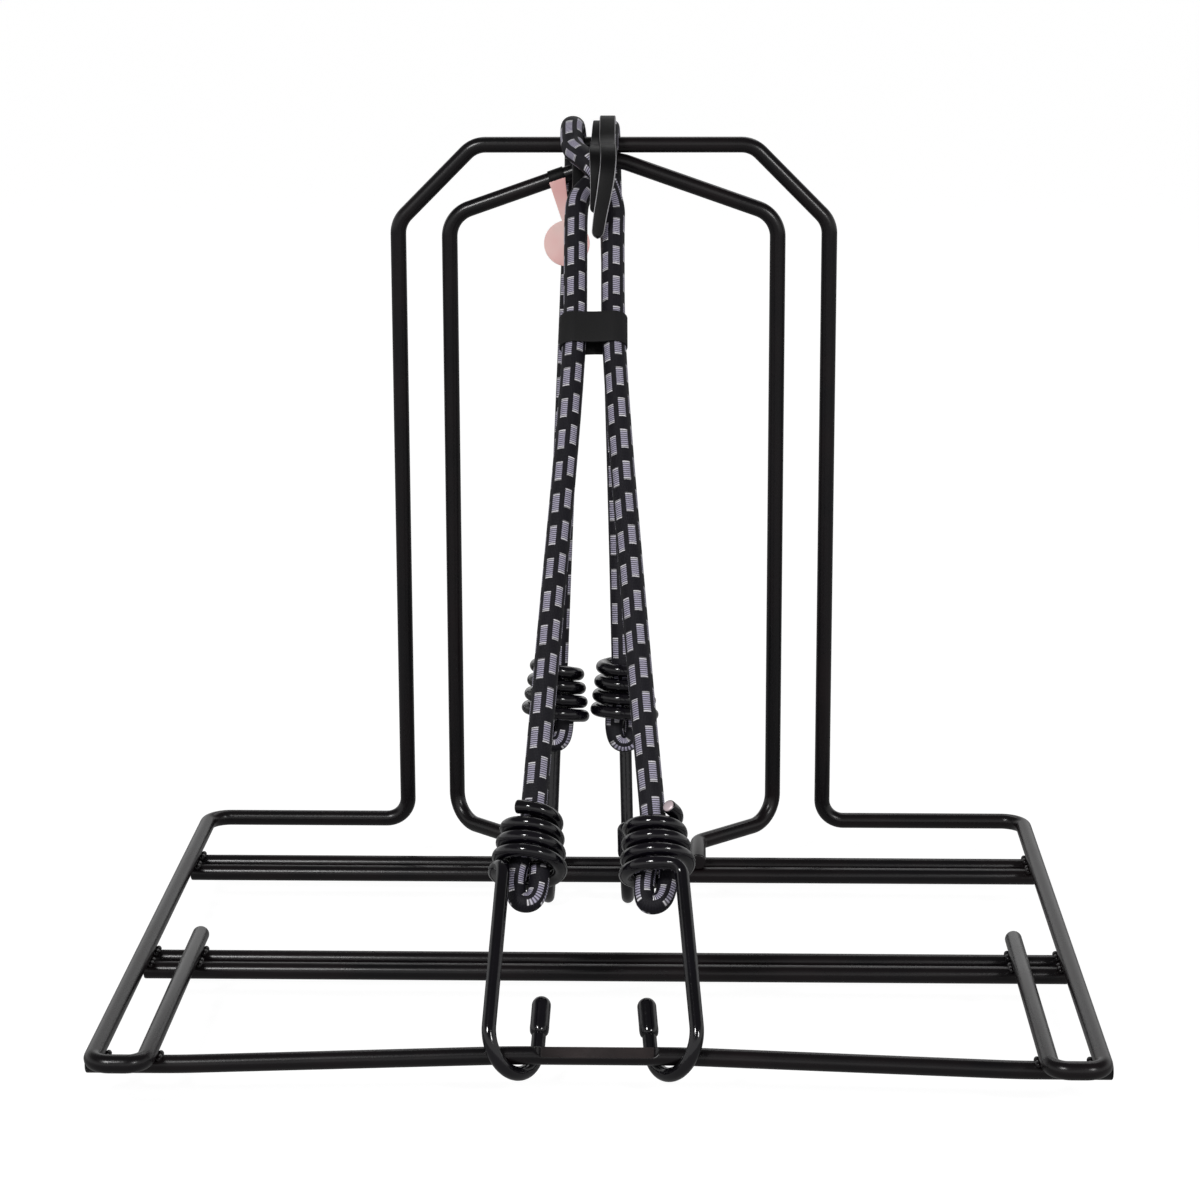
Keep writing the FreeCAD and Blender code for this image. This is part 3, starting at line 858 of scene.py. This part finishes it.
def makeTag(s):
    # A disc and a tapering neck in one plane that leans forward, and a short sleeve round the brace.
    lean = math.radians(s["lean"])
    half, slope = s["loopWidth"] / 2, wireSet["braceSlope"]
    hinge = np.array((s["loopX"], rearY, apexZ + slope * s["loopX"]))
    down = np.array((0.0, -math.sin(lean), -math.cos(lean)))
    out = np.array((0.0, -math.cos(lean), math.sin(lean)))
    plane = (hinge + out * (wireR + s["fit"]), np.array((1.0, 0.0, 0.0)), -down, -out)
    aside, discDrop = s["discX"] - s["loopX"], s["drop"] - (topZ - hinge[2])
    angle = np.linspace(0, 2 * math.pi, 72, endpoint=False)
    disc = np.stack([aside + s["discR"] * np.cos(angle), -discDrop + s["discR"] * np.sin(angle)], -1)
    card = flatPiece("tag_disc", disc, s["thick"], plane)
    low = -discDrop + s["discR"] - s["neckLap"]
    corners = np.array([(aside - s["neckLow"], low), (aside + s["neckLow"], low),
                        (half, half * slope - s["neckDrop"]), (-half, -half * slope - s["neckDrop"])])
    share = np.linspace(0, 1, 10, endpoint=False)[:, None]
    outline = np.vstack([here + (there - here) * share
                         for here, there in zip(corners, np.roll(corners, -1, 0))])
    neck = flatPiece("tag_neck", outline, s["thick"] * s["neckThin"], plane)
    along = unit(np.array((1.0, 0.0, slope)))
    around = np.linspace(0, 2 * math.pi, 48, endpoint=False)
    side = np.array((0.0, 1.0, 0.0))
    top = np.cross(along, side)
    section = roundedBox(s["loopWall"], s["loopWidth"], 0.45 * s["loopWall"], 4)
    r = wireR + s["fit"] + section[:, 0]
    spoke = np.cos(around)[:, None] * side + np.sin(around)[:, None] * top
    rings = hinge + r[None, :, None] * spoke[:, None] + section[None, :, 1:] * along
    loop = meshOf("tag_loop", rings[::-1], np.arange(len(section)) / len(section), around, closed=True)
    for piece in (card, neck, loop):
        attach(piece, "tag")
    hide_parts("tag")
    return card, neck, loop


tagCard, tagNeck, tagLoop = makeTag(tagSet)
print("band, strap and tag")

# materials

def nodeGroup(name, inputs, outputs):
    # An empty group with its sockets, and two helpers that add a sum or a mix of colours to it.
    group = bpy.data.node_groups.new(name, "ShaderNodeTree")
    for label, kind, value in inputs:
        socket = group.interface.new_socket(label, in_out="INPUT", socket_type=kind)
        if value is not None:
            socket.default_value = value
    for label, kind in outputs:
        group.interface.new_socket(label, in_out="OUTPUT", socket_type=kind)
    start, end = group.nodes.new("NodeGroupInput"), group.nodes.new("NodeGroupOutput")

    def calc(operation, a, b=0.0, clamp=False):
        # One sum on sockets or numbers.
        node = group.nodes.new("ShaderNodeMath")
        node.operation, node.use_clamp = operation, clamp
        for k, x in enumerate((a, b)):
            if isinstance(x, (int, float)):
                node.inputs[k].default_value = x
            else:
                group.links.new(x, node.inputs[k])
        return node.outputs[0]

    def blendColour(share, a, b):
        node = group.nodes.new("ShaderNodeMix")
        node.data_type = "RGBA"
        for socket, x in ((node.inputs[0], share), (node.inputs[6], a), (node.inputs[7], b)):
            if isinstance(x, (tuple, float, int)):
                socket.default_value = x
            else:
                group.links.new(x, socket)
        return node.outputs[2]

    return group, start.outputs, end.inputs, calc, blendColour


braidSet = {
    "rows": 6.0,             # of dashes, round the cord
    "halfRow": 0.27,         # half a dash's width, as a share of the space from row to row
    "rowEdge": 0.05,
    "dashEdge": 0.02,        # soft ends of a dash, as shares of the period
    # share of the period at each end of a dash that is lightened as a painted highlight
    "highlightAtDashEnd": 0.12,
    "stitch": 0.00088,       # length of one stitch of the pale yarn
    "ribShade": 0.92,        # how much darker it is between two stitches
    "weaveAlong": 5200.0,
    "weaveAround": 151.0,
    "weaveColor": (0.0085, 0.0075, 0.0130, 1.0),
    "dull": 0.58,
    "dashGloss": 0.24,
}


def tracerGroup(s):
    # Rows of pale dashes along a braid, their ends lightened by a painted highlight. Across: distance from
    # the nearest row; along: share of the period.
    inputs = [("Vector", "NodeSocketVector", None), ("Period", "NodeSocketFloat", 0.0139),
              ("Share", "NodeSocketFloat", 0.61), ("Row Turn", "NodeSocketFloat", 0.07),
              ("Start", "NodeSocketFloat", 0.0), ("Step", "NodeSocketFloat", -0.18),
              ("Dark", "NodeSocketColor", (0.0022, 0.0020, 0.0035, 1.0)),
              ("Thread", "NodeSocketColor", (0.50, 0.47, 0.61, 1.0)),
              ("Bright", "NodeSocketColor", (1.0, 0.98, 1.0, 1.0))]
    outputs = [("Color", "NodeSocketColor"), ("Height", "NodeSocketFloat"), ("Roughness", "NodeSocketFloat")]
    group, given, out, calc, mixed = nodeGroup("tracerBraid", inputs, outputs)
    split = group.nodes.new("ShaderNodeSeparateXYZ")
    group.links.new(given["Vector"], split.inputs[0])
    length, turn = split.outputs["X"], split.outputs["Y"]
    rows = calc("MULTIPLY", calc("SUBTRACT", turn, given["Row Turn"]), s["rows"])
    row = calc("FLOOR", calc("ADD", rows, 0.5))
    aside = calc("ABSOLUTE", calc("SUBTRACT", rows, row))
    place = calc("ADD", calc("ADD", calc("DIVIDE", length, given["Period"]), given["Start"]),
                 calc("MULTIPLY", row, given["Step"]))
    part = calc("FRACT", calc("ADD", place, 50.0))      # 50 keeps it above 0 in every row
    inRow = calc("SUBTRACT", 1.0, calc("DIVIDE", calc("SUBTRACT", aside, s["halfRow"]), s["rowEdge"]),
                 clamp=True)
    inDash = calc("MULTIPLY", calc("DIVIDE", part, s["dashEdge"], clamp=True),
                  calc("DIVIDE", calc("SUBTRACT", given["Share"], part), s["dashEdge"], clamp=True))
    dash = calc("MULTIPLY", inRow, inDash)
    toEnd = calc("MINIMUM", part, calc("SUBTRACT", given["Share"], part))
    paintedHighlightAtEnd = calc("SUBTRACT", 1.0, calc("DIVIDE", toEnd, s["highlightAtDashEnd"]), clamp=True)
    stitch = calc("SINE", calc("MULTIPLY", length, 2 * math.pi / s["stitch"]))
    rib = calc("ADD", calc("MULTIPLY", stitch, 0.5), 0.5)
    ribShade = calc("ADD", calc("MULTIPLY", rib, s["ribShade"]), 1 - s["ribShade"])
    # near its ends the yarn's colour is blended towards the painted highlight colour
    thread = mixed(paintedHighlightAtEnd, given["Thread"], given["Bright"])
    shaded = mixed(ribShade, given["Dark"], thread)
    lengthwise, around = calc("MULTIPLY", length, s["weaveAlong"]), calc("MULTIPLY", turn, s["weaveAround"])
    cross = calc("MULTIPLY", calc("SINE", calc("ADD", lengthwise, around)),
                 calc("SINE", calc("SUBTRACT", lengthwise, around)))
    weave = calc("ADD", calc("MULTIPLY", cross, 0.5), 0.5)
    braid = mixed(weave, given["Dark"], s["weaveColor"])
    group.links.new(mixed(dash, braid, shaded), out["Color"])
    raised = calc("MULTIPLY", dash, calc("ADD", calc("MULTIPLY", rib, 0.9), 0.5))
    group.links.new(calc("ADD", raised, calc("MULTIPLY", weave, 0.45)), out["Height"])
    group.links.new(calc("SUBTRACT", s["dull"], calc("MULTIPLY", dash, s["dashGloss"])), out["Roughness"])
    return group


def coatGroup():
    # Powder coat or dip: fine orange peel, a slow change of gloss, and a warmer tint in patches.
    # The two gloss values are roughness.
    inputs = [("Vector", "NodeSocketVector", None), ("Peel Scale", "NodeSocketFloat", 900.0),
              ("Base", "NodeSocketColor", (0.01, 0.01, 0.01, 1.0)),
              ("Tint", "NodeSocketColor", (0.02, 0.012, 0.014, 1.0)), ("Gloss Low", "NodeSocketFloat", 0.25),
              ("Gloss High", "NodeSocketFloat", 0.35)]
    outputs = [("Color", "NodeSocketColor"), ("Roughness", "NodeSocketFloat"), ("Height", "NodeSocketFloat")]
    group, given, out, calc, mixed = nodeGroup("coatOver", inputs, outputs)
    peel, drift = (group.nodes.new("ShaderNodeTexNoise") for _ in range(2))
    for node, detail in ((peel, 2.0), (drift, 3.0)):
        group.links.new(given["Vector"], node.inputs["Vector"])
        node.inputs["Detail"].default_value = detail
    drift.inputs["Scale"].default_value = 38.0
    group.links.new(given["Peel Scale"], peel.inputs["Scale"])
    patch = calc("MULTIPLY", calc("SUBTRACT", drift.outputs["Fac"], 0.38), 3.2, clamp=True)
    group.links.new(mixed(patch, given["Base"], given["Tint"]), out["Color"])
    spread = calc("SUBTRACT", given["Gloss High"], given["Gloss Low"])
    rougher = calc("MULTIPLY", spread, drift.outputs["Fac"])
    group.links.new(calc("ADD", given["Gloss Low"], rougher), out["Roughness"])
    group.links.new(peel.outputs["Fac"], out["Height"])
    return group


tracerBraid, coatOver = tracerGroup(braidSet), coatGroup()


def finishOf(name, group, source, inputs, bump, shaderSet):
    # A shader fed by one of the groups, with a bump from its height.
    material = bpy.data.materials.new(name)
    material.use_nodes = True
    nodes, links = material.node_tree.nodes, material.node_tree.links
    shader = nodes["Principled BSDF"]
    effect = nodes.new("ShaderNodeGroup")
    effect.node_tree = group
    if source == "uv":
        place = nodes.new("ShaderNodeUVMap")
        place.uv_map = "UVMap"
        links.new(place.outputs[0], effect.inputs["Vector"])
    else:
        place = nodes.new("ShaderNodeTexCoord")
        links.new(place.outputs["Object"], effect.inputs["Vector"])
    for label, value in inputs.items():
        effect.inputs[label].default_value = value
    links.new(effect.outputs["Color"], shader.inputs["Base Color"])
    links.new(effect.outputs["Roughness"], shader.inputs["Roughness"])
    raised = nodes.new("ShaderNodeBump")
    raised.inputs["Strength"].default_value, raised.inputs["Distance"].default_value = bump
    links.new(effect.outputs["Height"], raised.inputs["Height"])
    links.new(raised.outputs[0], shader.inputs["Normal"])
    for label, value in shaderSet.items():
        shader.inputs[label].default_value = value
    return material


def coated(name, base, tint, roughness, peelScale, bump, **shaderSet):
    # A finish of the coat group; underscores in a shader socket's name stand for spaces.
    inputs = {"Base": (*base, 1.0), "Tint": (*tint, 1.0), "Gloss Low": roughness[0],
              "Gloss High": roughness[1], "Peel Scale": peelScale}
    sockets = {label.replace("_", " "): value for label, value in shaderSet.items()}
    return finishOf(name, coatOver, "object", inputs, bump, sockets)


satinBlack = coated("satinBlackCoat", (0.0030, 0.0026, 0.0034), (0.0062, 0.0036, 0.0044), (0.22, 0.32),
                    1100.0, (0.10, 0.0002), Specular_IOR_Level=0.34)
glossBlack = coated("glossBlackDip", (0.0016, 0.0014, 0.0024), (0.0036, 0.0026, 0.0052), (0.08, 0.16),
                    500.0, (0.22, 0.0004), Specular_IOR_Level=0.40, Coat_Weight=0.25, Coat_Roughness=0.05)
softBlack = coated("softBlackStrap", (0.0022, 0.0022, 0.0024), (0.0040, 0.0038, 0.0042), (0.42, 0.55),
                   1600.0, (0.25, 0.0003), Specular_IOR_Level=0.14)
# a light grey line painted along the strap's edges as a highlight
strapEdgeHighlight = coated("strapPaintedEdgeLine", (0.035, 0.034, 0.036), (0.42, 0.41, 0.43), (0.28, 0.36),
                  1600.0, (0.10, 0.0002), Specular_IOR_Level=0.5)
elasticBlack = coated("elasticBlackBand", (0.0070, 0.0070, 0.0074), (0.0095, 0.0092, 0.0100), (0.6, 0.8),
                      2200.0, (0.30, 0.0003), Specular_IOR_Level=0.25)
paleEndFinish = coated("paleCutEnd", (0.50, 0.40, 0.42), (0.82, 0.70, 0.74), (0.35, 0.5),
                   1500.0, (0.3, 0.0002), Metallic=0.35)
wornBar = coated("wornBarTop", (0.0060, 0.0052, 0.0054), (0.045, 0.034, 0.034), (0.30, 0.45),
                 1100.0, (0.15, 0.0002), Specular_IOR_Level=0.40)
paleCard = coated("paleCard", (0.90, 0.50, 0.48), (0.95, 0.70, 0.66), (0.55, 0.7),
                  800.0, (0.10, 0.0002), Specular_IOR_Level=0.3)
braidOver, braidUnder = (
    finishOf(name, tracerBraid, "uv", {"Row Turn": rowTurn, "Start": dashStart}, (0.5, 0.0004),
             {"Specular IOR Level": 0.25})
    for name, rowTurn, dashStart in (("cordBraidOver", 0.115, 0.35), ("cordBraidUnder", 0.067, 0.10)))


def coat(piece, *materials):
    # Gives a piece its materials and keeps which face has which.
    for material in materials:
        piece.data.materials.append(material)


for name, braid in (("rear_left", braidOver), ("front_right", braidOver),
                    ("rear_right", braidUnder), ("front_left", braidUnder)):
    coat(cords[name][0], braid)
for wire, tip in hooks.values():
    coat(wire, glossBlack)
    coat(tip, glossBlack)
for piece in wires:
    coat(piece, satinBlack)
# the flat that the hooks have rubbed, on top of the bar's middle
coat(frontBar, wornBar)
normals = np.array([f.normal for f in frontBar.data.polygons])
middles = np.array([f.center for f in frontBar.data.polygons])
onFlat = (np.abs(middles[:, 0]) < barSet["flatX"]) & (normals @ flatFace > barSet["wornFrom"])
frontBar.data.polygons.foreach_set("material_index", onFlat.astype(np.int32))
coat(paleEndDisc, paleEndFinish)
coat(band, elasticBlack)
# the strap's edge faces take the painted highlight line
for strand in strands.values():
    coat(strand, softBlack, strapEdgeHighlight)
coat(tagCard, paleCard)
coat(tagNeck, paleCard)
coat(tagLoop, softBlack)
print("materials")
